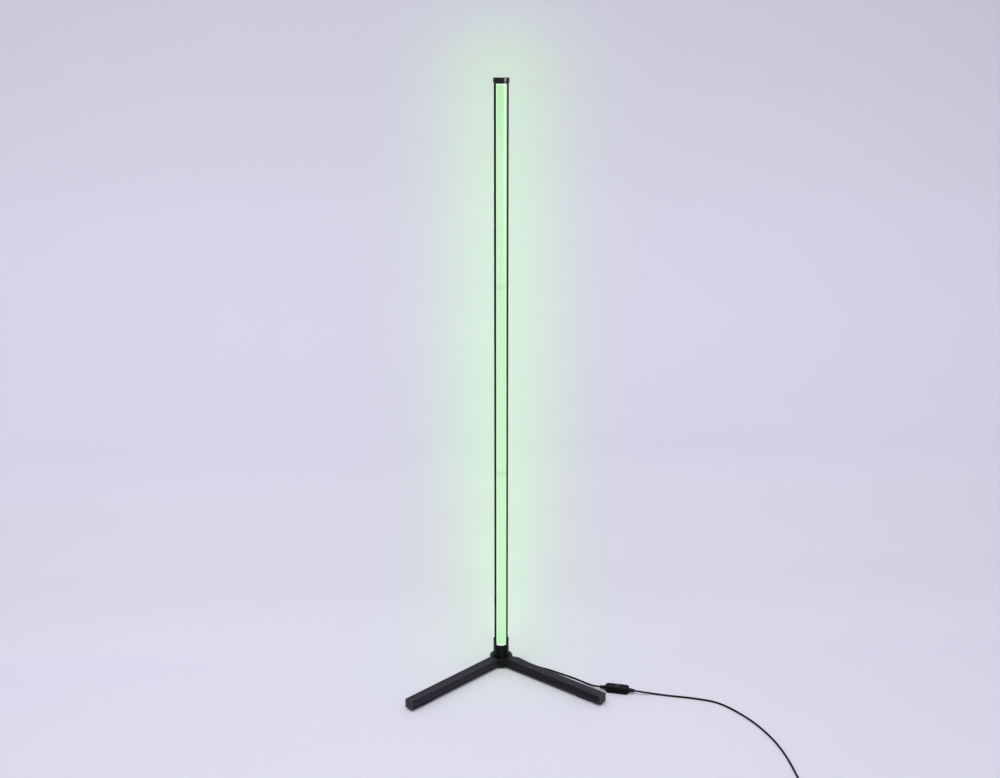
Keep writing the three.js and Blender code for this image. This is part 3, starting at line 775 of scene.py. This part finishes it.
def add_top_cap():
    low, high = box("top_cap")
    radius, base = high.x, TUBE_TOP
    edge = quarter(CAP_ROUND, 4)
    profile = [(0, base)]
    profile += [(radius - inset, base + rise) for inset, rise in reversed(edge)]
    profile += [(radius - inset, high.z - drop) for inset, drop in edge]
    profile.append((0, high.z))
    post = soften(prism("post", [post_outline()], low.z, base + 1), 0.5)
    hole = cross_rod(SCREW_HOLE, TUBE_R - 7, POST_R + 1, centre("cap_screw").z)
    show(carve(lathe("cap", profile, 96), [post], [hole]), "top_cap", "gloss_cap")


# ---- screws ----
# Each kind: the shank's radius, the head's radius and height, and the length below the head.
TUBE_SCREW = (1.5, 2.75, 1.8, 7)
COVER_SCREW = (1.1, 2.2, 1.4, 6)
CASE_SCREW = (0.9, 1.8, 0.6, 6)
THREAD_PITCH = 0.5
SCREWS_FROM_BELOW = {
    TUBE_SCREW: [f"{side}_leg_screw_{i}" for side in ("left", "right") for i in (1, 2)],
    COVER_SCREW: ["cover_screw_1", "cover_screw_2"],
    CASE_SCREW: ["controller_screw_1", "controller_screw_2"],
}


def screw_shape(radius, head, tall, length):
    """A pan-head screw with a cross slot: its head stands on z = 0, its threaded shank points down."""
    core = radius * 0.8
    profile = [(0, -length), (radius * 0.6, -length)]
    for i in range(round((length - 1) / THREAD_PITCH)):
        z = -length + 0.4 + i * THREAD_PITCH
        profile += [(core, z), (radius, z + THREAD_PITCH / 2)]
    profile += [(core, -0.2), (core, 0)]
    profile += [(head, 0), (head, tall * 0.3), (head * 0.95, tall * 0.6), (head * 0.82, tall * 0.85)]
    profile += [(head * 0.62, tall), (0, tall)]
    long, wide, floor = head * 0.56, head * 0.13, tall * 0.3
    slots = [block((-x, -y, floor), (x, y, tall + 1)) for x, y in ((long, wide), (wide, long))]
    return carve(lathe("screw", profile, 32), cut=slots)


def add_screws():
    tall = TUBE_SCREW[2]
    for node in BACK_SCREWS:
        place = shifted(0, box(node)[1].y - tall, centre(node).z) @ Z_TO_Y
        show(screw_shape(*TUBE_SCREW), node, "screw_steel", place)
    for kind, nodes in SCREWS_FROM_BELOW.items():
        for node in nodes:
            middle = centre(node)
            place = shifted(middle.x, middle.y, box(node)[0].z + kind[2]) @ UPSIDE_DOWN
            show(screw_shape(*kind), node, "screw_steel", place)


# ---- base ----
HUB_SIDES = {"left": -1, "right": 1}
LEG_LOW, LEG_HIGH = box("hub_cover")[0].z, box("left_leg")[1].z
LEG_MID = (LEG_LOW + LEG_HIGH) / 2
LEG_HALF_W, LEG_HALF_H = 10.9, (LEG_HIGH - LEG_LOW) / 2
LEG_WALL, LEG_ROUND = 2, 2
LEG_TIP, LEG_PAD_REACH = 274, 229  # from the hub's axis to the legs' ends and to the pads' middles
LEG_CAP = 2.4
LEG_SCREWS = (34, 46)              # how far the legs' screws lie from the hub's axis
TENON = (21.5, 54)                 # where each tenon starts and ends
HUB_R = 25
HUB_ROOM_R, HUB_ROOM_TOP = 20, 19.4
HUB_BOSS_R, PILOT_R = 3, 1.4
COVER_HOLES = (16, -16)            # along Y
COVER_POCKET_R, COVER_POCKET_TOP = 22.7, 6
SLEEVE_R, SLEEVE_TOP = 16.95, 63
NOTCH_HALF, NOTCH_ROUND = 11.1, 2.4
GLAND_HOLE_R = 4
FINE = 128                         # steps round the hub's turned faces


def leg_turn(side):
    return Matrix.Rotation(side * LEG_ANGLE, 4, "Z")


def bar(loops, start, end):
    """A bar along -Y at the legs' height."""
    return moved(prism("bar", loops, start, end), shifted(0, 0, LEG_MID) @ Z_TO_BACK)


def bar_inside():
    """The outline of what fits into a leg."""
    inset = LEG_WALL + GAP
    return rounded(LEG_HALF_W - inset, LEG_HALF_H - inset, 0.8)


def leg_holes():
    return [rod(SCREW_HOLE, -1, LEG_LOW + 7.3, 0, -r, 24) for r in LEG_SCREWS]


def cover_pilots():
    return [rod(PILOT_R, 0, 12, 0, y, 24) for y in COVER_HOLES]


def hub_cavity():
    bosses = [rod(HUB_BOSS_R, LEG_LOW + 2, HUB_ROOM_TOP + 1, 0, y) for y in COVER_HOLES]
    return carve(rod(HUB_ROOM_R, -1, HUB_ROOM_TOP), cut=bosses)


def notch():
    """The opening in the sleeve's front, with round lower corners, that the diffuser ends in."""
    tall = 20
    shape = prism("notch", [rounded(NOTCH_HALF, tall, NOTCH_ROUND)], 0, 12)
    return moved(shape, shifted(0, -8, SEAT_Z + tall) @ Z_TO_BACK)


def gland_hole():
    gland = centre("cord_gland")
    return moved(rod(GLAND_HOLE_R, -9, 9), shifted(HUB_R - 3, gland.y, gland.z) @ Z_TO_X)


def hub_cuts():
    seat = SEAT_Z - GAP
    wire_way = rod(3.4, HUB_ROOM_TOP - 1, seat, 0, -2.3)
    plug_room = block((-4.8, -5.1, seat - 8), (4.8, WEB_FRONT, seat + 1))
    screw_way = cross_rod(SCREW_HOLE, SLEEVE_R - 7, SLEEVE_R + 2, centre("hub_screw").z)
    pocket = rod(COVER_POCKET_R, -1, COVER_POCKET_TOP, steps=96)
    cuts = [hub_cavity(), pocket, wire_way, plug_room, notch(), screw_way, gland_hole(), *cover_pilots()]
    for side in HUB_SIDES.values():
        cuts += [moved(hole, leg_turn(side)) for hole in leg_holes()]
    return cuts


def add_hub():
    disc = lathe("disc", [(0, LEG_LOW), (HUB_R, LEG_LOW), (HUB_R, LEG_HIGH), (0, LEG_HIGH)], FINE)
    disc = soften(disc, 1.6, 5)
    start = LEG_HIGH - 1
    neck = lathe("neck", [
        (0, start), (SLEEVE_R, start), (SLEEVE_R, SLEEVE_TOP - 0.5), (SLEEVE_R - 0.15, SLEEVE_TOP - 0.15),
        (SLEEVE_R - 0.5, SLEEVE_TOP), (0, SLEEVE_TOP),
    ], FINE)
    sleeve = carve(neck, cut=[rod(TUBE_R + GAP, SEAT_Z - GAP, SLEEVE_TOP + 1, steps=FINE)])
    post = soften(prism("post", [post_outline()], SEAT_Z - 2, box("hub_body")[1].z), 0.5)
    tenons = [moved(bar([bar_inside()], *TENON), leg_turn(side)) for side in HUB_SIDES.values()]
    show(carve(disc, [sleeve, post, *tenons], hub_cuts()), "hub_body", "hub_coating")


def add_hub_cover():
    low, high = box("hub_cover")
    plate = lathe("cover", [
        (0, low.z), (17, low.z), (17.3, low.z + 0.35), (18, low.z + 0.35), (18.3, low.z),
        (high.x, low.z), (high.x, high.z), (0, high.z),
    ], 96)
    show(soften(carve(plate, cut=cover_pilots()), 0.2), "hub_cover", "moulded_black")


def add_hub_foot():
    radius, top = box("hub_foot")[1].x, box("hub_foot")[1].z
    profile = [(0, 0)]
    for groove in (4, 7):
        profile += [(groove, 0), (groove + 0.2, 0.4), (groove + 0.9, 0.4), (groove + 1.1, 0)]
    profile += [(radius - 0.8, 0), (radius - 0.25, 0.25), (radius, 0.8), (radius, top), (0, top)]
    show(lathe("foot", profile, 72), "hub_foot", "rubber")


def ribbed(profile, start, end, slot, pitch=1.7, depth=0.6):
    """Adds flex slots between two places along a tapering turned profile."""
    made = [point for point in profile if point[1] <= start]
    (r0, x0), (r1, x1) = made[-1], profile[-2]
    place = start
    while place + pitch < end:
        radius = r0 + (r1 - r0) * (place - x0) / (x1 - x0)
        for step, inset in ((0, 0), (0.12, depth), (slot - 0.12, depth), (slot, 0)):
            made.append((radius - inset, place + step))
        place += pitch
    return made + [point for point in profile if point[1] >= end]


def add_gland():
    """The strain relief: a flange in the hub's wall, a collar outside and a tapering tail."""
    profile = [
        (0, 15.2), (4.5, 15.2), (4.5, 16.6), (3.7, 16.6), (3.7, 25.4), (4.2, 25.4), (4.5, 25.7), (4.5, 26.9),
        (4.2, 27.2), (3.5, 27.7), (2.5, 33), (0, 33),
    ]
    gland = lathe("gland", ribbed(profile, 28.2, 32.4, 0.75), 48)
    middle = centre("cord_gland")
    show(gland, "cord_gland", "rubber", shifted(0, middle.y, middle.z) @ Z_TO_X)


def add_leg(name, side):
    outer = rounded(LEG_HALF_W, LEG_HALF_H, LEG_ROUND)
    inner = rounded(LEG_HALF_W - LEG_WALL, LEG_HALF_H - LEG_WALL, 0.8)
    start = LEG_TIP - LEG_CAP
    leg = bar([outer, inner], HUB_R - 6, start - GAP)
    leg = carve(leg, cut=[rod(HUB_R + GAP, 0, LEG_HIGH + 2, steps=FINE), *leg_holes()])
    show(soften(leg, 0.3), f"{name}_leg", "coated_steel", leg_turn(side))
    plate = soften(bar([outer], start, LEG_TIP), 0.7, 4)
    plug = soften(bar([bar_inside()], start - 12, start + 1), 0.5)
    show(carve(plate, [plug]), f"{name}_leg_cap", "moulded_black", leg_turn(side))
    pad = prism("pad", [rounded(7, 21, 6.5, 12)], 0, box(f"{name}_leg_pad")[1].z)
    pad = moved(soften(pad, 0.6, 3), shifted(0, -LEG_PAD_REACH, 0))
    show(pad, f"{name}_leg_pad", "rubber", leg_turn(side))


# ---- in-line controller ----
CASE_HALF, CASE_HALF_W, CASE_TALL, CASE_WALL, CASE_CUT = 25, 9.5, 14, 1.6, 5
CASE_MID = CASE_TALL / 2
CASE_ROUND = 0.9
SEAM = 0.15
BOSS_PLACES = ((16.5, 5.3), (-16.5, -5.3))
BOSS_R, CASE_SCREW_HOLE, HEAD_HOLE = 2.3, 1.2, 2.1
BUTTON_HOLE, CORD_HOLE = 5.3, 3
RIB_PLACES = (-10, 10)             # the ribs that the board lies on


def case_outline(inset):
    cut = CASE_CUT - inset * (2 - sqrt(2))
    return rounded(CASE_HALF - inset, CASE_HALF_W - inset, cut, 1)


def loft(name, rings):
    """A closed skin over rings of points, flat at both ends."""
    size = len(rings[0])
    points = [point for ring in rings for point in ring]
    faces = [tuple(range(size)), tuple(range(len(points) - size, len(points)))]
    for low in range(0, len(points) - size, size):
        faces += belt(low, low + size, size)
    return solid(name, points, faces)


def case_half(seam, outside):
    """Half of the controller's case, from its seam to its rounded outside face."""
    away = 1 if outside > seam else -1
    levels = [(0.25, seam), (0, seam + away * 0.25)]
    levels += [(inset, outside - away * drop) for inset, drop in quarter(CASE_ROUND, 5)]
    rings = [[(x, y, z) for x, y in case_outline(inset)] for inset, z in levels]
    return soften(loft("case", rings), 0.35, 3, 30)


def case_room(low, high):
    return prism("room", [case_outline(CASE_WALL)], low, high)


def cord_way():
    reach = CASE_HALF + 2
    return moved(rod(CORD_HOLE, -reach, reach), shifted(0, 0, CASE_MID) @ Z_TO_X)


def at_bosses(radius, low, high):
    return [rod(radius, low, high, x, y, 24) for x, y in BOSS_PLACES]


def upper_shell():
    room = case_room(0, CASE_TALL - CASE_WALL)
    shell = carve(case_half(CASE_MID + SEAM, CASE_TALL), cut=[room, cord_way()])
    pilots = at_bosses(CASE_SCREW_HOLE, 0, CASE_MID + 1)
    button_hole = rod(BUTTON_HOLE, 0, CASE_TALL + 1, steps=64)
    return carve(shell, at_bosses(BOSS_R, 1.9, CASE_TALL - 1), [*pilots, button_hole])


def lower_shell():
    shell = carve(case_half(CASE_MID - SEAM, 0), cut=[case_room(CASE_WALL, CASE_TALL), cord_way()])
    ribs = [block((x - 1, -6, 1), (x + 1, 6, 3.7)) for x in RIB_PLACES]
    return carve(shell, ribs, at_bosses(HEAD_HOLE, -1, 1) + at_bosses(CASE_SCREW_HOLE, -1, 3))


def button():
    """A domed cap with a rim inside the case and a short stem on the switch."""
    return lathe("button", [
        (0, 10.2), (1.6, 10.2), (1.6, 11.1), (6, 11.1), (6, 12.1), (5, 12.1), (5, 14.45), (4.85, 14.82),
        (4.45, 15), (3.8, 14.93), (2.4, 14.78), (0, 14.7),
    ], 64)


def boot():
    """A flange inside the case, a neck in its wall and a ribbed taper outside."""
    profile = [
        (0, 20.8), (3.5, 20.8), (3.5, 23.1), (2.6, 23.1), (2.6, 25.3), (4.2, 25.3), (4.5, 25.6), (4.5, 27),
        (3.4, 37), (0, 37),
    ]
    return lathe("boot", ribbed(profile, 27.4, 36.2, 0.75), 48)


def controller_place():
    middle = centre("controller_button")
    along = centre("controller_boot_out") - centre("controller_boot_in")
    floor = box("controller_lower_shell")[0].z
    return shifted(middle.x, middle.y, floor) @ Matrix.Rotation(atan2(along.y, along.x), 4, "Z")


def add_controller():
    place = controller_place()
    show(upper_shell(), "controller_upper_shell", "controller_case", place)
    show(lower_shell(), "controller_lower_shell", "controller_case", place)
    show(button(), "controller_button", "moulded_black", place, body="button")
    for end, turn in (("in", pi), ("out", 0)):
        turned = place @ shifted(0, 0, CASE_MID) @ Matrix.Rotation(turn, 4, "Z") @ Z_TO_X
        show(boot(), f"controller_boot_{end}", "rubber", turned)
    dress("controller_board", "board")
    dress("push_switch", "moulded_black")
    dress("switch_plunger", "rubber")


# ---- plug and tie ----
PLUG_HALF_W, PLUG_HALF_H, PLUG_ROUND = 7.8, 4, 1.8
PLUG_TAIL, PLUG_LONG = 11, 39
PLUG_RIBS, PLUG_RIB_PITCH = 5, 2.4
USB_HALF_W, USB_HALF_H, USB_WALL = 6, 2.25, 0.5


def plug_ring(x, inset_w, inset_h):
    outline = rounded(PLUG_HALF_W - inset_w, PLUG_HALF_H - inset_h, PLUG_ROUND, 6)
    return [(x, across, up) for across, up in outline]


def usb_body():
    """The plug's grip, with round ends and five grooves, and its ribbed tail, along +X."""
    rings = [plug_ring(PLUG_TAIL + rise, inset, inset) for inset, rise in reversed(quarter(1.2, 4))]
    for k in range(PLUG_RIBS):
        x = PLUG_TAIL + 3.5 + k * PLUG_RIB_PITCH
        for step, inset in ((0, 0), (0.25, 0.45), (1.05, 0.45), (1.3, 0)):
            rings.append(plug_ring(x + step, inset, inset * 0.6))
    rings += [plug_ring(PLUG_LONG - drop, inset, inset) for inset, drop in quarter(0.8, 4)]
    tail = [(0, 0), (2.1, 0), (2.4, 0.3), (3.3, PLUG_TAIL), (3.3, PLUG_TAIL + 1), (0, PLUG_TAIL + 1)]
    tail = moved(lathe("tail", ribbed(tail, 1.2, 9.6, 0.8, depth=0.4), 48), Z_TO_X)
    return carve(loft("plug", rings), [tail])


def usb_shell(start, end):
    outlines = [rounded(USB_HALF_H, USB_HALF_W, 0.7, 4),
                rounded(USB_HALF_H - USB_WALL, USB_HALF_W - USB_WALL, 0.3, 4)]
    shell = moved(prism("shell", outlines, start, end), Z_TO_X)
    windows = [block((start + 5, y - 1, -3), (start + 7, y + 1, 3)) for y in (-3, 3)]
    return soften(carve(shell, cut=windows), 0.1)


def usb_tongue(start, end):
    tongue = block((start, -5.2, -0.4), (end - 1, 5.2, 1.45))
    parts = [(soften(tongue, 0.2), MATERIALS["moulded_black"])]
    for k, reach in enumerate((9.5, 8.5, 8.5, 9.5)):
        y = (k - 1.5) * 2.4
        parts.append((block((start + 0.4, y - 0.5, -0.5), (start + reach, y + 0.5, -0.38)), GOLD))
    return merged("tongue", parts)


def add_plug():
    """Made along +X from the tail, and turned round to point along -X."""
    tail = box("usb_body")[1].x
    middle = centre("usb_body")
    place = shifted(tail, middle.y, middle.z) @ Matrix.Rotation(pi, 4, "Z")
    start, end = tail - box("usb_shell")[1].x, tail - box("usb_shell")[0].x
    show(usb_body(), "usb_body", "moulded_black", place)
    show(usb_shell(start, end), "usb_shell", "plated_steel", place)
    show(usb_tongue(start, end), "usb_tongue", "board", place)


def add_tie():
    """A strap wrapped round the coil's turns, with its end lying on top."""
    low, high = box("coil_tie")
    half = (high - low) / 2
    middle = centre("coil_tie")
    loops = [rounded(half.x, half.z, 1.7), rounded(half.x - 0.5, half.z - 0.5, 1.2)]
    strap = prism("strap", loops, -half.y, half.y)
    end = prism("end", [rounded(4.5, 0.3, 0.25, 3)], 0.2 - half.y, half.y - 0.2)
    strap = carve(strap, [moved(end, shifted(-0.8, half.z + 0.1, 0))])
    place = shifted(middle.x, middle.y, middle.z) @ Z_TO_BACK
    show(soften(strap, 0.1), "coil_tie", "rubber", place)


for section in SECTIONS:
    add_section(section)
for joint in SECTIONS[:-1]:
    dress(f"joiner_{joint}", "moulded_black")
add_top_cap()
add_screws()
add_hub()
add_hub_cover()
add_hub_foot()
add_gland()
dress("hub_wires", "cord_jacket")
for leg_name, leg_side in HUB_SIDES.items():
    add_leg(leg_name, leg_side)
add_controller()
add_plug()
add_tie()

# ---- the controller's pieces ----
CASE_PARTS = ("lower_shell", "upper_shell", "button", "boot_in", "boot_out", "screw_1", "screw_2")
CONTROLLER_PIECES = [f"controller_{part}_detail" for part in CASE_PARTS]
CONTROLLER_PIECES += ["controller_board", "push_switch", "switch_plunger"]

# ---- stage and light, in metres ----
PALE = (0.64, 0.635, 0.711)
WALL_Y = 0.42
COVE_R = 0.38
STAGE_HALF = 9.0
WALL_TOP = 6.0
BACKDROP_LIFT = 0.0002             # the backdrop's front edge lies this far above the floor
TONE_TOP = 1.6                     # the height that the last of the wall's painted tones stands at
# The backdrop's painted light and shade by height, which evens out its lighting: (part of TONE_TOP, tone).
PAINTED_WALL_LIGHT = (
    (0.0, 1.0), (0.03, 0.965), (0.07, 0.98), (0.15, 1.06), (0.235, 1.178), (0.31, 1.185), (0.465, 1.155),
    (0.615, 1.08), (0.76, 0.985), (0.81, 0.945), (0.88, 0.90), (1.0, 0.86),
)
TONE_MOST = 1.25
HALO_X, HALO_WIDE = 0.024, 0.17    # the middle of the lamp's light on the wall, and the painted glow's reach sideways
PAINTED_HALO_TINT = (1.02, 1.105, 0.90)    # the painted glow's tint on the wall's colour
PAINTED_HALO_TINT_LOW = (1.03, 1.17, 0.945)   # and the painted glow's tint near the floor


def painted_halo_mask(coat, x, y, z):
    """Where the lamp's glow is painted on the stage: 1 on the wall right behind the tube, fading to 0
    sideways, above the cap and in front of the hub.
    """
    away = coat.math("DIVIDE", coat.math("SUBTRACT", x, coat.product(y, HALO_X / WALL_Y)), HALO_WIDE)
    sideways = coat.math("EXPONENT", coat.product(away, away, -1.0))
    above = coat.between(z, 1, 0, 1.30, 1.44)
    forward = coat.between(y, 0, 1, -0.20, 0.06)
    return coat.product(sideways, above, forward)


# Painted light and shade: the backdrop's colour scaled by height.
def painted_wall_shading(coat, z):
    ramp = coat.node("ShaderNodeValToRGB", {"Fac": coat.math("DIVIDE", z, TONE_TOP)})
    ramp.color_ramp.interpolation = "CARDINAL"
    stops = ramp.color_ramp.elements
    while len(stops) < len(PAINTED_WALL_LIGHT):
        stops.new(0.5)
    for stop, (place, tone) in zip(stops, PAINTED_WALL_LIGHT):
        stop.position = place
        stop.color = (*[tone / TONE_MOST] * 3, 1)
    return coat.product(ramp.outputs["Color"], TONE_MOST)


def seen_from_front(coat):
    """Makes the material clear from behind."""
    clear = coat.node("ShaderNodeBsdfTransparent").outputs["BSDF"]
    behind = coat.node("ShaderNodeNewGeometry").outputs["Backfacing"]
    blend = coat.node("ShaderNodeMixShader", {"Fac": behind, 1: coat.shader.outputs["BSDF"], 2: clear})
    coat.link(blend.outputs["Shader"], coat.tree.nodes["Material Output"].inputs["Surface"])


def tinted(tint):
    return tuple(channel * part for channel, part in zip(PALE, tint))


def make_stage_material(is_backdrop):
    coat = Coat("pale stage", PALE, 0.7, specular=0.15)
    x, y, z = coat.axes()
    body = coat.mix(coat.noise(1.2, 2), tinted((0.985, 0.985, 0.985)), PALE)
    # the lamp's green glow painted into the stage's colour behind the tube
    painted_halo = coat.mix(coat.between(z, 1, 0, 0.02, 0.22), tinted(PAINTED_HALO_TINT), tinted(PAINTED_HALO_TINT_LOW))
    body = coat.mix(painted_halo_mask(coat, x, y, z), body, painted_halo)
    if is_backdrop:
        # painted light and shade on the backdrop, by height
        shaded = coat.node("ShaderNodeVectorMath", {0: body, "Scale": painted_wall_shading(coat, z)}, operation="SCALE")
        body = shaded.outputs["Vector"]
        seen_from_front(coat)
    coat.feed(body, "Base Color")
    coat.bump(coat.noise(260), 0.05, 0.3)
    return coat.material


def sheet_piece(name, section, material):
    """A stage surface: a line of (y, z) points drawn out along X."""
    points = [(x, y, z) for x in (-STAGE_HALF, STAGE_HALF) for y, z in section]
    count = len(section)
    faces = [(i, i + count, i + count + 1, i + 1) for i in range(count - 1)]
    mesh = bpy.data.meshes.new(name)
    mesh.from_pydata(points, [], faces)
    mesh.materials.append(material)
    mesh.shade_smooth()
    new_object(name, mesh)


def add_stage():
    sheet_piece("floor", [(-STAGE_HALF, 0), (STAGE_HALF, 0)], make_stage_material(False))
    cove = [(WALL_Y - drop, BACKDROP_LIFT + rise) for rise, drop in quarter(COVE_R, 32)]
    sheet_piece("backdrop", [*cove, (WALL_Y, WALL_TOP)], make_stage_material(True))


def add_softbox(name, place, target, size, power, color=(1, 1, 1), spread=180, glossy=True, diffuse=True):
    data = bpy.data.lights.new(name, "AREA")
    data.shape = "RECTANGLE"
    data.size, data.size_y = size
    data.energy = power
    data.color = color
    data.spread = radians(spread)
    light = new_object(name, data)
    light.location = place
    light.rotation_euler = (Vector(target) - Vector(place)).to_track_quat("-Z", "Y").to_euler()
    light.visible_camera = False
    light.visible_glossy = glossy
    light.visible_diffuse = diffuse


def add_world():
    world = bpy.data.worlds.new("studio")
    world.use_nodes = True
    background = world.node_tree.nodes["Background"]
    background.inputs["Color"].default_value = (0.95, 0.945, 1.0, 1)
    background.inputs["Strength"].default_value = 0.70
    bpy.context.scene.world = world


add_stage()
add_world()
add_softbox("overhead", place=(-0.35, -0.9, 3.2), target=(-0.1, -0.3, 0), size=(3.6, 3.2), power=79)
add_softbox("right", place=(1.22, -1.03, 0.95), target=(0, 0, 0.95), size=(0.75, 0.85), power=7.6,
            diffuse=False)
add_softbox("cap gleam", place=(1.32, -0.91, 1.385), target=(0, 0, 1.385), size=(0.95, 0.27), power=12,
            color=(1.0, 0.93, 1.0), diffuse=False)
add_softbox("glow", place=(0.0034, 0.06, 0.71), target=(HALO_X, WALL_Y, 0.71), size=(0.012, 1.36), power=0.20,
            color=(0.12, 1.0, 0.12), spread=77, glossy=False)
bpy.context.scene.view_settings.view_transform = "Standard"
